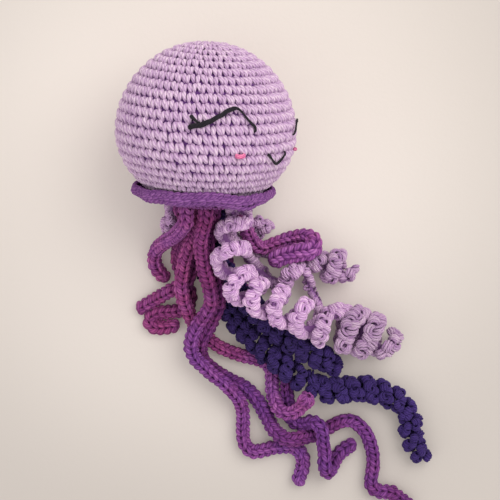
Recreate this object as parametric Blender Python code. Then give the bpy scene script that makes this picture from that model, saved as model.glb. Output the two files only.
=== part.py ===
# Plush jellyfish worked in crochet: a stuffed bell with a sewn face, a frilled brim and soft tentacles.
# Metres. It lies on its side on a flat surface, the crown pointing along +Y, and +Z is up.
# The flat spot under the bell is at the origin.
import math

import bmesh
import bpy
import numpy as np
from mathutils import Vector

MM = 0.001

# Bell
BELL_RADIUS = 0.0515
CROWN_HEIGHT = 0.0510
LOWER_DEPTH = 0.0429
FOOT_DEPTH = 0.0360
COVER_THICKNESS = 0.0035
BELL_TILT = math.radians(15.0)
BELL_LEAN = math.radians(3.5)
ROUNDS = 22
ROUND_RIDGE = 0.0006
BELL_COLUMNS = 36
FLAT_SPOT_DEPTH = 0.0011
GAP = 0.0003

# Base disc
DISC_EDGE = 0.0010
DISC_THICKNESS = 0.0028

# Brim
BRIM_STAND = 0.0003
BRIM_TOP = 0.0276
BRIM_HEIGHT = 0.0076
BRIM_SAG = 0.0036
BRIM_TUCK = 0.0014
BRIM_RIPPLE = 0.0006
BRIM_RIPPLES = 14
BRIM_FOLD = 0.0016
BRIM_FOLD_ANGLE = math.radians(41.0)
BRIM_COLUMNS = 56

# Face
FACE_MIDDLE = 53.0
EYE_THICK = 0.0013
EYE_THIN = 0.00075
MOUTH_STRAND = 0.0008
CHEEK_STRAND = 0.0010

# Tentacles
CORD_RADIUS = 0.00375
FOLD_RADIUS = 0.0054
CORD_POINT_STEP = 0.0058
CURL_POINT_STEP = 0.0040
FIRST_STRETCH = 0.0050
FLOOR_CLEARANCE = 0.00005

# The bell's own directions: along its axis to the crown, up the side that faces up, and to its right.
AXIS = Vector(
    (
        math.sin(BELL_LEAN) * math.cos(BELL_TILT),
        math.cos(BELL_LEAN) * math.cos(BELL_TILT),
        math.sin(BELL_TILT),
    )
)
UPPER = (Vector((0.0, 0.0, 1.0)) - AXIS.z * AXIS).normalized()
RIGHT = AXIS.cross(UPPER)


def bell_centre():
    """The middle of the widest round, placed so that the flat spot's middle is the origin."""
    reach = math.hypot(BELL_RADIUS * math.cos(BELL_TILT), LOWER_DEPTH * math.sin(BELL_TILT))
    along = -LOWER_DEPTH * LOWER_DEPTH * math.sin(BELL_TILT) / reach
    out = -BELL_RADIUS * BELL_RADIUS * math.cos(BELL_TILT) / reach
    lowest = along * AXIS + out * UPPER
    return Vector((0.0, 0.0, -FLAT_SPOT_DEPTH)) - lowest


CENTRE = bell_centre()
DISC_FACE = FOOT_DEPTH + GAP + DISC_THICKNESS


def on_bell(height, radius, angle):
    """The point at this height along the axis, this far from it and at this angle round from the upper side."""
    side = math.cos(angle) * UPPER + math.sin(angle) * RIGHT
    return CENTRE + height * AXIS + radius * side


def bell_reach(height):
    """The bell's radius at a height along its axis, without the ridges."""
    end = CROWN_HEIGHT if height > 0.0 else LOWER_DEPTH
    return BELL_RADIUS * math.sqrt(max(0.0, 1.0 - (height / end) ** 2))


def clear_scene():
    for old in list(bpy.data.objects):
        bpy.data.objects.remove(old, do_unlink=True)


def material(name, colour, roughness):
    made = bpy.data.materials.new(name)
    made.use_nodes = True
    shader = made.node_tree.nodes["Principled BSDF"]
    shader.inputs["Base Color"].default_value = (colour[0], colour[1], colour[2], 1.0)
    shader.inputs["Roughness"].default_value = roughness
    return made


def mesh_object(name, points, faces, coat):
    mesh = bpy.data.meshes.new(name)
    mesh.from_pydata([tuple(point) for point in points], [], faces)
    shape = bmesh.new()
    shape.from_mesh(mesh)
    bmesh.ops.recalc_face_normals(shape, faces=shape.faces)
    shape.to_mesh(mesh)
    shape.free()
    for face in mesh.polygons:
        face.use_smooth = True
    made = bpy.data.objects.new(name, mesh)
    made.data.materials.append(coat)
    bpy.context.scene.collection.objects.link(made)
    return made


def turned(name, profile, columns, coat, closed, place):
    """A shape turned about the bell's axis. The profile is (height, radius) pairs, and a pole has radius 0."""
    points = []
    rows = []
    for height, radius in profile:
        if radius <= 0.0:
            rows.append([len(points)] * columns)
            points.append(place(height, 0.0, 0.0))
            continue
        rows.append(list(range(len(points), len(points) + columns)))
        for column in range(columns):
            points.append(place(height, radius, 2.0 * math.pi * column / columns))
    faces = []
    count = len(rows) if closed else len(rows) - 1
    for row in range(count):
        first = rows[row]
        second = rows[(row + 1) % len(rows)]
        for column in range(columns):
            after = (column + 1) % columns
            corners = [first[column], first[after], second[after], second[column]]
            faces.append(list(dict.fromkeys(corners)))
    return mesh_object(name, points, faces, coat)


def bell_profile():
    """(height, radius, outward height, outward radius) at even steps from crown to foot, two for each round."""
    fine = []
    steps = 4000
    foot_turn = math.acos(-FOOT_DEPTH / LOWER_DEPTH)
    for step in range(steps + 1):
        turn = foot_turn * step / steps
        end = CROWN_HEIGHT if turn < math.pi / 2 else LOWER_DEPTH
        fine.append((end * math.cos(turn), BELL_RADIUS * math.sin(turn), end))
    length = [0.0]
    for before, after in zip(fine, fine[1:]):
        length.append(length[-1] + math.hypot(after[0] - before[0], after[1] - before[1]))
    rows = 2 * ROUNDS
    found = []
    at = 0
    for row in range(rows + 1):
        wanted = length[-1] * row / rows
        while at < steps and length[at] < wanted:
            at += 1
        height, radius, end = fine[at]
        outward = Vector((height / (end * end), radius / (BELL_RADIUS * BELL_RADIUS)))
        outward.normalize()
        found.append((height, radius, outward.x, outward.y))
    return found


def rested(height, radius, angle):
    """A point of the bell, with what would be under the floor pressed flat on it."""
    point = on_bell(height, radius, angle)
    return Vector((point.x, point.y, max(point.z, 0.0)))


def bell_cover(coat):
    """The crocheted cover: ridged outside by its rounds, plain inside, open at the foot."""
    outside = []
    inside = []
    for row, (height, radius, out_height, out_radius) in enumerate(bell_profile()):
        ridge = ROUND_RIDGE if row % 2 else 0.0
        outside.append((height + ridge * out_height, radius + ridge * out_radius))
        if row % 4 == 0:
            inner = radius - COVER_THICKNESS * out_radius
            inside.append((height - COVER_THICKNESS * out_height, inner))
    foot = outside[-1][0]
    outside[0] = (outside[0][0], 0.0)
    inside[0] = (inside[0][0], 0.0)
    inside[-1] = (foot, inside[-1][1])
    profile = outside + inside[::-1]
    return turned("bell_cover", profile, BELL_COLUMNS, coat, False, rested)


def bell_stuffing(coat):
    """The fibre filling that fills the cover."""
    inset = COVER_THICKNESS + GAP
    profile = []
    for row, (height, radius, out_height, out_radius) in enumerate(bell_profile()):
        if row % 4 == 0:
            profile.append((height - inset * out_height, radius - inset * out_radius))
    profile[0] = (profile[0][0], 0.0)
    profile[-1] = (-FOOT_DEPTH, profile[-1][1] - GAP)
    profile.append((-FOOT_DEPTH, 0.0))
    return turned("bell_stuffing", profile, 24, coat, False, on_bell)


def base_disc(coat):
    """The flat crocheted disc that closes the foot and carries the tentacles."""
    top = -FOOT_DEPTH - GAP
    edge = 0.3 * DISC_THICKNESS
    reach = bell_reach(-FOOT_DEPTH) + DISC_EDGE
    profile = [
        (top, 0.0),
        (top, reach - edge),
        (top - edge, reach),
        (top - DISC_THICKNESS + edge, reach),
        (top - DISC_THICKNESS, reach - edge),
        (top - DISC_THICKNESS, 0.0),
    ]
    return turned("base_disc", profile, 32, coat, False, on_bell)


def brim_frill(coat):
    """The thick frill sewn round the bell just above its foot."""
    top = -BRIM_TOP
    low = -BRIM_TOP - BRIM_HEIGHT
    middle = 0.5 * (top + low)
    clear = ROUND_RIDGE + 4.0 * GAP
    reach = bell_reach(top) + clear + BRIM_STAND
    profile = [
        (top, bell_reach(top) + clear),
        (top + 0.0002, reach - 0.0002),
        (top - 0.0016, reach + 0.0008),
        (middle, reach + 0.0010),
        (low + 0.0014, reach + 0.0008),
        (low, reach - 0.0006),
        (low, bell_reach(low) + clear + 0.0034),
        (middle, bell_reach(middle) + clear),
    ]

    def frilled(height, radius, angle):
        across = math.sin(angle) * math.sin(angle)
        if radius > reach - 0.0010:
            radius += BRIM_RIPPLE * math.sin(BRIM_RIPPLES * angle)
            away = (angle - BRIM_FOLD_ANGLE) / 0.16
            fold = BRIM_FOLD * math.exp(-away * away)
            radius += fold
            if height < middle:
                height -= fold
        height -= BRIM_SAG * (0.7 - 0.3 * math.sin(angle)) * across
        radius -= BRIM_TUCK * across
        return on_bell(height, radius, angle)

    return turned("brim_frill", profile, BRIM_COLUMNS, coat, True, frilled)


def smooth_curve(rows):
    """Rows of numbers, the first three a position, run through by a smooth curve at many close points."""
    rows = np.array(rows, dtype=float)
    chord = np.linalg.norm(np.diff(rows[:, :3], axis=0), axis=1)
    knots = np.concatenate([[0.0], np.cumsum(np.sqrt(chord))])
    slope = np.gradient(rows, knots, axis=0)
    pieces = []
    for i in range(len(rows) - 1):
        width = knots[i + 1] - knots[i]
        s = np.linspace(0.0, 1.0, 60, endpoint=False)[:, None]
        piece = (2 * s**3 - 3 * s**2 + 1) * rows[i]
        piece += (s**3 - 2 * s**2 + s) * width * slope[i]
        piece += (3 * s**2 - 2 * s**3) * rows[i + 1]
        piece += (s**3 - s**2) * width * slope[i + 1]
        piece[:, 3:] = (1 - s) * rows[i, 3:] + s * rows[i + 1, 3:]
        pieces.append(piece)
    return np.vstack(pieces + [rows[-1:]])


def even_points(points, values, step):
    """The curve's points at even steps along its length, with each one's value."""
    lengths = np.linalg.norm(np.diff(points, axis=0), axis=1)
    along = np.concatenate([[0.0], np.cumsum(lengths)])
    count = max(2, int(round(along[-1] / step)))
    wanted = np.linspace(0.0, along[-1], count + 1)
    placed = [np.interp(wanted, along, points[:, axis]) for axis in range(3)]
    return np.stack(placed, axis=1), np.interp(wanted, along, values)


def rounded_end(points, radii):
    """The far end drawn in over three points, so that it is round."""
    direction = points[-1] - points[-2]
    direction /= np.linalg.norm(direction)
    last = radii[-1]
    end = [points[-1] - share * last * direction for share in (0.9, 0.35, 0.0)]
    return np.vstack([points[:-1], end]), np.concatenate([radii, [0.84 * last, 0.44 * last]])


def from_disc(right, up, out):
    """A point over the base disc's face, this far out from it."""
    return CENTRE - (DISC_FACE + GAP + out) * AXIS + right * RIGHT + up * UPPER


def cord_rows(start, route):
    first = from_disc(start[0] * MM, start[1] * MM, 0.0)
    second = from_disc(start[0] * MM, start[1] * MM, FIRST_STRETCH)
    return [tuple(first), tuple(second)] + [(x * MM, y * MM, z * MM) for x, y, z in route]


def cord_tentacle(name, start, route, coat, fold_from=2.0):
    """A round crocheted cord. Past the share fold_from of its length it is thicker."""
    line_points = smooth_curve(cord_rows(start, route))
    points, _ = even_points(line_points, np.zeros(len(line_points)), CORD_POINT_STEP)
    share = np.linspace(0.0, 1.0, len(points))
    radii = CORD_RADIUS + (FOLD_RADIUS - CORD_RADIUS) * np.clip((share - fold_from) / 0.15, 0.0, 1.0)
    points[:, 2] = np.maximum(points[:, 2], radii + FLOOR_CLEARANCE)
    points, radii = rounded_end(points, radii)
    curve = bpy.data.curves.new(name, "CURVE")
    curve.dimensions = "3D"
    curve.bevel_depth = CORD_RADIUS
    curve.bevel_resolution = 2
    curve.use_fill_caps = True
    line = curve.splines.new("POLY")
    line.points.add(len(points) - 1)
    for spot, point, radius in zip(line.points, points, radii):
        spot.co = (point[0], point[1], point[2], 1.0)
        spot.radius = radius / CORD_RADIUS
    line.use_smooth = True
    made = bpy.data.objects.new(name, curve)
    made.data.materials.append(coat)
    bpy.context.scene.collection.objects.link(made)
    return made


def curl_tentacle(name, start, route, hand, leans, coat):
    """A crocheted strip coiled round a route. Its rows are x, y, z, coil radius, strip radius and turns."""
    back_lean, side_lean = leans
    rows = []
    for out, turns in ((0.0, route[0][5] - 0.35), (FIRST_STRETCH, route[0][5] - 0.2)):
        spot = from_disc(start[0] * MM, start[1] * MM, out)
        rows.append((spot.x, spot.y, spot.z, 0.2 * MM, route[0][4] * MM, turns))
    for x, y, z, coil, strip, turns in route:
        rows.append((x * MM, y * MM, z * MM, coil * MM, strip * MM, turns))
    axis = smooth_curve(rows)
    along = np.gradient(axis[:, :3], axis=0)
    along /= np.linalg.norm(along, axis=1)[:, None]
    upward = np.array([0.0, 0.0, 1.0]) - along[:, 2:3] * along
    upward /= np.linalg.norm(upward, axis=1)[:, None]
    sideways = np.cross(along, upward)
    angle = hand * 2.0 * math.pi * axis[:, 5:6]
    settled = np.clip(np.minimum(axis[:, 5:6] + 0.5, axis[-1, 5] - axis[:, 5:6]), 0.0, 1.0)
    leaning = settled * (back_lean * np.cos(angle) + side_lean * np.sin(angle))
    ring = np.cos(angle) * upward - np.sin(angle) * sideways - leaning * along
    strand = axis[:, :3] + axis[:, 3:4] * ring
    points, radii = even_points(strand, axis[:, 4], CURL_POINT_STEP)
    points[:, 2] = np.maximum(points[:, 2], radii + FLOOR_CLEARANCE)
    return tube_object(name, points, radii, 6, coat)


def tube_object(name, points, radii, sides, coat):
    """A tube with rounded ends along the points."""
    along = np.gradient(points, axis=0)
    along /= np.linalg.norm(along, axis=1)[:, None]
    across = np.cross(along[0], [0.3, 0.2, 0.9])
    turn = 2.0 * math.pi * np.arange(sides) / sides
    rings = []
    for point, radius, direction in zip(points, radii, along):
        across = across - np.dot(across, direction) * direction
        across = across / np.linalg.norm(across)
        other = np.cross(direction, across)
        ring = np.cos(turn)[:, None] * across + np.sin(turn)[:, None] * other
        rings.append((point, radius, direction, ring))
    corners = []
    first_point, first_radius, first_direction, first_ring = rings[0]
    corners.append(first_point)
    for point, radius, direction, ring in rings[:-1]:
        corners.extend(point + radius * ring)
    point, radius, direction, ring = rings[-1]
    corners.extend(point - 0.75 * radius * direction + radius * ring)
    corners.extend(point - 0.2 * radius * direction + 0.7 * radius * ring)
    corners.append(point)
    count = len(rings) + 1
    faces = []
    for side in range(sides):
        after = (side + 1) % sides
        faces.append([0, 1 + after, 1 + side])
        for row in range(count - 1):
            low = 1 + row * sides
            high = low + sides
            faces.append([low + side, low + after, high + after, high + side])
        low = 1 + (count - 1) * sides
        faces.append([low + side, low + after, len(corners) - 1])
    return mesh_object(name, corners, faces, coat)


def surface_strand(name, marks, coat):
    """Yarn sewn on the bell through marks: angle from the upper side in degrees, height in mm, strand radius."""
    route = []
    for degrees, height, radius in marks:
        height *= MM
        end = CROWN_HEIGHT if height > 0.0 else LOWER_DEPTH
        reach = bell_reach(height)
        out = Vector((height / (end * end), reach / (BELL_RADIUS * BELL_RADIUS))).normalized()
        lift = ROUND_RIDGE + GAP + radius
        spot = on_bell(height + lift * out.x, reach + lift * out.y, math.radians(degrees))
        route.append((spot.x, spot.y, spot.z, radius))
    rows = smooth_curve(route)
    points, radii = even_points(rows[:, :3], rows[:, 3], 0.0016)
    return tube_object(name, points, radii, 6, coat)


def mirrored(marks):
    """The same marks on the face's other side."""
    return [(2.0 * FACE_MIDDLE - degrees, height, radius) for degrees, height, radius in marks]


def face(black, pink):
    eye = [
        (-7.0, 9.4, EYE_THICK),
        (1.5, 11.6, EYE_THICK),
        (10.0, 15.3, EYE_THICK),
        (19.0, 19.4, EYE_THICK),
        (23.0, 19.2, EYE_THIN),
        (28.5, 14.2, EYE_THIN),
        (33.6, 8.4, EYE_THIN),
    ]
    lash = [(-6.5, 15.4, EYE_THIN), (-3.4, 14.4, EYE_THIN), (-0.6, 13.9, EYE_THIN)]
    mouth = [(44.5, -4.8, MOUTH_STRAND), (49.0, -8.4, MOUTH_STRAND), (53.0, -10.2, MOUTH_STRAND)]
    mouth += mirrored(mouth[:2])[::-1]
    cheek = [(22.3, -5.0, CHEEK_STRAND), (24.6, -5.6, CHEEK_STRAND), (27.0, -5.0, CHEEK_STRAND)]
    surface_strand("left_eye_stitches", eye, black)
    surface_strand("left_eye_lash", lash, black)
    surface_strand("right_eye_stitches", mirrored(eye), black)
    surface_strand("right_eye_lash", mirrored(lash), black)
    surface_strand("mouth_stitches", mouth, black)
    surface_strand("left_cheek_stitch", cheek, pink)
    surface_strand("right_cheek_stitch", mirrored(cheek), pink)


# Where each cord starts on the base disc, as (right, up) in mm, and the points that it runs through, in mm.
CORDS = [
    (
        "plum_tentacle_left_loop",
        (-8, 18),
        [
            (-11, -54, 55), (-14.5, -59, 45), (-20, -63.5, 32), (-26, -66.5, 21),
            (-31.5, -70.5, 12), (-34, -76, 6), (-33, -82, 3.8), (-29.5, -86.5, 3.8),
            (-25.5, -90.5, 3.8),
        ],
    ),
    (
        "plum_tentacle_folded",
        (-13, 3),
        [
            (-12.5, -54.5, 34), (-14, -61, 24.5), (-17, -67.5, 16), (-19.5, -73.5, 9),
            (-19.5, -79.5, 5.5), (-17, -86, 3.8), (-14, -93.5, 3.8), (-12, -99, 3.8),
            (-13, -104.5, 3.8), (-17.5, -108, 3.8), (-24.5, -109.3, 3.8), (-30.5, -110, 3.8),
            (-35.5, -112, 3.8), (-37, -115.5, 3.8), (-34.5, -118.6, 3.8), (-29, -119.2, 3.8),
            (-23.5, -118.3, 3.8), (-18.5, -117.5, 3.8),
        ],
    ),
    (
        "plum_tentacle_raised_end",
        (-1, 10),
        [
            (-6.5, -54.5, 41.4), (-8.5, -62.5, 36.5), (-11.5, -70, 32), (-14, -77, 28),
            (-15.5, -84.5, 24), (-16.5, -91.5, 20.8), (-16, -97, 18.9), (-15, -102.5, 15.5),
            (-13, -107.5, 12.6), (-11, -113, 9.4), (-8.5, -118, 4.5), (-4, -123, 3.8),
            (0.5, -127, 3.8), (5.5, -130.5, 3.8), (13, -134, 3.8), (21, -136.5, 3.8),
            (28.5, -138, 3.8), (34.5, -140.5, 3.8), (38, -144.5, 3.8), (38.5, -151.5, 3.8),
            (38.5, -157.5, 4.2), (40, -163.5, 6), (42.5, -168.5, 9.5), (46.5, -170.5, 12),
            (51, -170, 13), (55.5, -166.5, 14.5), (58.5, -162, 17.5), (60, -158.5, 22),
        ],
    ),
    (
        "plum_tentacle_left_tip",
        (-5, -5),
        [
            (-7, -57, 22), (-7, -65.5, 18), (-8.5, -72.5, 15.5), (-10, -80, 13.6),
            (-11.5, -86, 12.2), (-14.5, -91, 11.8), (-19.5, -94, 11.9), (-24.5, -96.5, 9.8),
            (-30.5, -100, 6), (-35.5, -103, 4.2), (-40.5, -106, 3.8), (-45, -108.5, 3.8),
        ],
    ),
    (
        "plum_tentacle_lower",
        (3, 19),
        [
            (-1, -55.5, 54), (-3, -62, 48.5), (-4, -69, 43), (-3, -76, 38.5), (-2, -83, 34.5),
            (0, -90, 31), (1.5, -97, 28), (1.5, -103, 24.5), (-1.5, -109, 21),
            (-5.5, -114.5, 17.5), (-8.5, -119.5, 16.6), (-10.5, -125, 16.4), (-11, -130.5, 14.9),
            (-8.5, -137, 12.9), (-3, -142.5, 12), (2.5, -147.5, 12), (8, -151.5, 11.7),
            (13, -156.5, 10.4), (17.5, -162, 7.8), (20, -168.5, 5), (20.5, -176, 3.8),
            (20.5, -184, 3.8), (21.5, -190.5, 3.8), (25.5, -195, 3.8), (31.5, -195, 3.8),
            (37, -193.5, 3.8), (42.5, -192.5, 3.8), (48, -192, 3.8), (53, -193.5, 3.8),
            (57, -198, 3.8), (57.5, -204, 3.8), (55.5, -210.5, 3.8), (54, -216.5, 3.8),
        ],
    ),
    (
        "plum_tentacle_longest",
        (7, 9),
        [
            (1, -57, 38), (0, -65.5, 33), (0.5, -74.5, 29), (2, -83, 25.5), (4.5, -91, 22.5),
            (6, -98.5, 19.8), (6, -104.5, 17), (3.5, -110, 14.9), (1.5, -115, 12.4),
            (-1.5, -120.5, 12), (-4.5, -126, 11.4), (-5.5, -132, 7.2), (-4, -138.5, 4.2),
            (1.5, -144, 3.8), (7.5, -148.5, 3.8), (13.5, -152, 3.8), (21, -155.5, 3.8),
            (27.5, -161.5, 3.8), (32, -168, 3.8), (35.5, -174.5, 4.3), (38.5, -180, 7),
            (42.5, -184, 10.6), (48, -186.5, 11.5), (54, -186.5, 9.8), (59, -186, 6.3),
            (63.5, -185.5, 4.1), (68, -183.5, 3.8), (73, -181, 3.8), (78.5, -178, 3.8),
            (83.5, -176.5, 3.8), (88.5, -177, 3.8), (93, -180.5, 3.8), (97, -185.5, 3.8),
            (99, -191.5, 3.8), (100.5, -198, 3.8), (100.5, -205, 3.8), (99.5, -211, 3.8),
            (99.5, -216, 3.8), (102.5, -219.5, 3.8), (107.5, -220, 3.8), (112.5, -221, 3.8),
            (116.5, -224, 3.8), (121, -227.5, 3.8), (124.5, -231, 3.8),
        ],
    ),
    (
        "plum_tentacle_hooked",
        (3, -11),
        [
            (3, -57, 21), (6.5, -66.5, 13), (10, -77.5, 6.5), (14.5, -88, 3.8), (20.5, -96.5, 3.8),
            (25.5, -103.5, 3.8), (31.5, -111, 3.8), (37.5, -119, 3.8), (42.5, -128, 3.8),
            (46.5, -136.5, 3.8), (47.5, -146, 3.8), (47.5, -154.5, 3.8), (48, -162, 3.8),
            (49, -168.5, 3.8), (49.5, -173.5, 3.8), (53, -177.5, 3.8), (57.5, -178.5, 4.8),
            (62, -176.5, 7.2), (66, -177.5, 10.8), (68.5, -182, 12.1), (69, -188, 12.2),
            (70, -194, 12.4), (70, -199.5, 12.6), (70.5, -204.5, 11), (72.5, -207.5, 8.2),
            (74.5, -206.5, 5), (76.5, -202, 3.8), (79.5, -197, 3.8), (83.5, -193.5, 3.8),
            (87, -191.5, 3.8), (90.5, -192, 3.8),
        ],
    ),
    (
        "plum_tentacle_right_fold",
        (21, -3),
        [
            (20.5, -54.5, 25), (23.5, -61, 18), (27, -67, 12.5), (32, -70, 9), (39.5, -67.5, 7.8),
            (47, -64.8, 7.2), (53.5, -63, 8), (59, -62.8, 10.5), (63, -65, 13.2),
            (63.5, -68.8, 15.8), (60.5, -71.8, 17), (55, -72.6, 17.2), (49.5, -73.8, 17),
            (44, -75.3, 16.8), (39.5, -77.5, 16.5), (36, -79, 16.3),
        ],
    ),
]

# The same for each curl, with 1 or -1 for the way it winds, then how far its rings lean back at their top and
# at their left side. Its rows also give the coil's radius and the strip's radius in mm, and the turns so far.
CURLS = [
    (
        "lavender_curl_long",
        (18, 10),
        -1,
        (0.75, -0.1),
        [
            (18.5, -50.8, 46.4, 4.6, 2.8, -0.38), (15.8, -58.2, 46, 6.6, 3.3, 0),
            (14, -73.8, 40.6, 8.2, 3.7, 1), (19, -90.8, 36.6, 7.4, 3.8, 2),
            (30, -98.6, 34.2, 7.2, 3.8, 3), (43.5, -104.6, 31.6, 8, 3.9, 4),
            (56, -111.5, 29, 7, 4.2, 5), (66, -119.8, 26.6, 4.6, 4, 6),
            (69.5, -123.4, 24.8, 2.8, 3.6, 6.35),
        ],
    ),
    (
        "lavender_curl_big_end",
        (14, -8.5),
        1,
        (0.2, 0.0),
        [
            (13.5, -64, 19, 0.3, 3.1, -1), (22.5, -76, 9, 0.3, 3.1, -0.7),
            (32, -85.5, 6, 0.4, 3.3, -0.45), (42, -90, 8, 1.4, 3.7, -0.25),
            (49.5, -87, 13, 3.6, 3.9, 0), (55, -86.5, 13.8, 3.2, 3.4, 0.2),
            (59.5, -91, 11.8, 1.1, 2.4, 0.36), (64, -98, 9, 0.1, 2.1, 0.6),
            (69, -105.5, 8.2, 0.5, 2.4, 0.7), (75.5, -116.5, 13.6, 9.2, 4, 1.1),
            (86, -119.5, 15, 10.6, 3.95, 2), (96.2, -122.5, 14.8, 10, 3.9, 2.95),
            (106, -125, 11.6, 6.8, 3.9, 3.8), (112, -126.5, 6.8, 2.2, 3.5, 4.3),
        ],
    ),
    (
        "lavender_curl_left",
        (-19, -4),
        1,
        (0.0, 0.0),
        [
            (-20.5, -50, 29, 1.2, 2.7, -0.3), (-22, -53.3, 20.5, 2.6, 3, 0.4),
            (-23.2, -56, 13.2, 3, 3.1, 1.2), (-24, -59.5, 7.6, 1.8, 2.9, 1.9),
        ],
    ),
    (
        "lavender_curl_middle",
        (21, -12),
        1,
        (0.0, 0.0),
        [
            (23.5, -50.5, 20, 0.8, 2.6, -0.5), (27.5, -54.3, 12.5, 1.9, 2.6, 0),
            (31.5, -57.5, 7.6, 2.7, 2.7, 0.7), (36.5, -58.8, 5.8, 2.3, 2.6, 1.4),
        ],
    ),
    (
        "lavender_curl_right",
        (11, -19),
        1,
        (0.0, 0.0),
        [
            (16, -65, 8, 0.2, 2.9, -1), (26, -72.5, 3.6, 0.2, 2.9, -0.9),
            (37, -75, 3.2, 0, 2.9, -0.7), (48, -75.5, 3.2, 0, 2.9, -0.5),
            (57, -76.3, 4.2, 0.2, 3, -0.4), (62, -79, 6.8, 0.3, 3, -0.3),
            (66.5, -81, 9.6, 3, 3.1, 0), (71, -81, 10.4, 6, 3.4, 0.5),
            (80.8, -81.5, 10.6, 6.3, 3.3, 1.5), (85.3, -83, 8.4, 3.6, 3.1, 2.1),
        ],
    ),
    (
        "indigo_curl_short",
        (10, 0),
        -1,
        (0.0, 0.15),
        [
            (5.5, -57, 30, 0.3, 2.9, -1.4), (7, -67, 22, 0.6, 2.9, -1.1),
            (9.5, -78.5, 16.4, 1.2, 2.9, -0.6), (12.5, -88.5, 16, 2.6, 2.9, 0),
            (17.5, -95, 16.8, 3.8, 3, 1), (23, -101.5, 17, 4.1, 3.1, 2),
            (29, -107.5, 16.9, 4.1, 3.1, 3), (35, -113.5, 17, 4.1, 3.2, 4),
            (41.5, -119.5, 17.4, 4.1, 3.2, 5), (49, -125.5, 17.8, 4.1, 3.2, 6),
            (55.5, -130.5, 16.6, 4.1, 3.2, 7), (63.5, -134, 15.2, 4.1, 3.2, 8),
            (70.5, -137.5, 12.6, 3.9, 3.2, 9), (75, -141.8, 9, 3.1, 3, 9.8),
            (77, -145.5, 5.8, 1.6, 2.7, 10.25),
        ],
    ),
    (
        "indigo_curl_long",
        (1, -21),
        -1,
        (0.0, 0.15),
        [
            (-4, -56.5, 12, 0.5, 2.9, -1.4), (-3.5, -67, 6.5, 1.2, 2.9, -1),
            (-3, -78.5, 5.8, 2, 2.9, -0.4), (-0.5, -88, 6.4, 3, 2.9, 0.4),
            (4, -96, 7.1, 3.9, 2.9, 1.4), (10, -103, 7, 4, 2.9, 2.4),
            (14, -109.5, 7.1, 4.1, 2.9, 3.4), (18, -116.5, 7.1, 4.1, 3, 4.4),
            (23.5, -122.5, 7.4, 4.1, 2.9, 5.4), (29.5, -128, 9.9, 4.1, 2.9, 6.4),
            (35.5, -134, 13.2, 4.1, 2.9, 7.4), (42.5, -139.5, 15.4, 4.1, 3, 8.4),
            (49.5, -144.5, 14.8, 4.1, 3, 9.4), (56.5, -150.3, 10.9, 4.2, 3.1, 10.4),
            (64.5, -154.7, 7.8, 4.3, 3.3, 11.4), (74, -156.8, 7.8, 4.4, 3.5, 12.4),
            (83.5, -157, 7.8, 4.4, 3.5, 13.4), (93, -156, 7.8, 4.4, 3.5, 14.4),
            (102, -157.5, 7.8, 4.3, 3.4, 15.4), (111, -161, 7.6, 4, 3.2, 16.4),
            (118.5, -166, 7.4, 3.6, 2.9, 17.4), (122.5, -173.5, 7.1, 3.6, 3, 18.4),
            (123.2, -182.5, 7, 3.7, 3, 19.4), (125.5, -190.5, 6.8, 3.5, 2.9, 20.4),
            (130, -196.5, 6, 3, 2.8, 21.4), (133.3, -200, 4.4, 1.4, 2.6, 22),
        ],
    ),
]


def build():
    clear_scene()
    bell_yarn = material("bell_cotton", (0.43, 0.27, 0.42), 0.9)
    curl_yarn = material("lavender_cotton", (0.51, 0.29, 0.49), 0.9)
    purple = material("purple_cotton", (0.18, 0.055, 0.20), 0.9)
    plum = material("plum_cotton", (0.22, 0.045, 0.20), 0.9)
    indigo = material("indigo_cotton", (0.035, 0.018, 0.13), 0.9)
    disc_yarn = material("base_cotton", (0.16, 0.045, 0.16), 0.9)
    fibre = material("white_fibre", (0.80, 0.80, 0.78), 0.95)
    black = material("black_thread", (0.012, 0.010, 0.014), 0.8)
    pink = material("pink_thread", (0.72, 0.18, 0.34), 0.8)
    bell_cover(bell_yarn)
    bell_stuffing(fibre)
    base_disc(disc_yarn)
    brim_frill(purple)
    face(black, pink)
    for name, start, route in CORDS:
        fold_from = 0.6 if name == "plum_tentacle_right_fold" else 2.0
        cord_tentacle(name, start, route, plum, fold_from)
    for name, start, hand, leans, route in CURLS:
        coat = indigo if name.startswith("indigo") else curl_yarn
        curl_tentacle(name, start, route, hand, leans, coat)


build()
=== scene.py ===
import math

import bpy
import numpy as np
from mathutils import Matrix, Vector


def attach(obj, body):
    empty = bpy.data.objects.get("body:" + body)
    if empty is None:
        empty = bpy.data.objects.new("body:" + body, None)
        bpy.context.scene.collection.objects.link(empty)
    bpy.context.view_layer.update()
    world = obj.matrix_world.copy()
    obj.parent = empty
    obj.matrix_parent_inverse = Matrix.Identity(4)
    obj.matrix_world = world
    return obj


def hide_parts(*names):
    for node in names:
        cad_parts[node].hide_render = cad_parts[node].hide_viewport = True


# Plush jellyfish in crochet, seen from above as it lies on a pale ground.
# Every strand of yarn is a tube on a path of its own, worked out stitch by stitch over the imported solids.
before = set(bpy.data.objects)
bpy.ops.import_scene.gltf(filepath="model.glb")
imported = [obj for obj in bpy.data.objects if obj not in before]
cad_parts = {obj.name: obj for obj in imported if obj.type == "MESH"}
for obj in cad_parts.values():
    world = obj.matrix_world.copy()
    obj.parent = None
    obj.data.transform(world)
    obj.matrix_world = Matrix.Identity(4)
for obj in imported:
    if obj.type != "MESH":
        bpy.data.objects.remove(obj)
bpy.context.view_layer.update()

MM = 0.001
TURN = 2.0 * math.pi
chance = np.random.default_rng(7)

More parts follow.
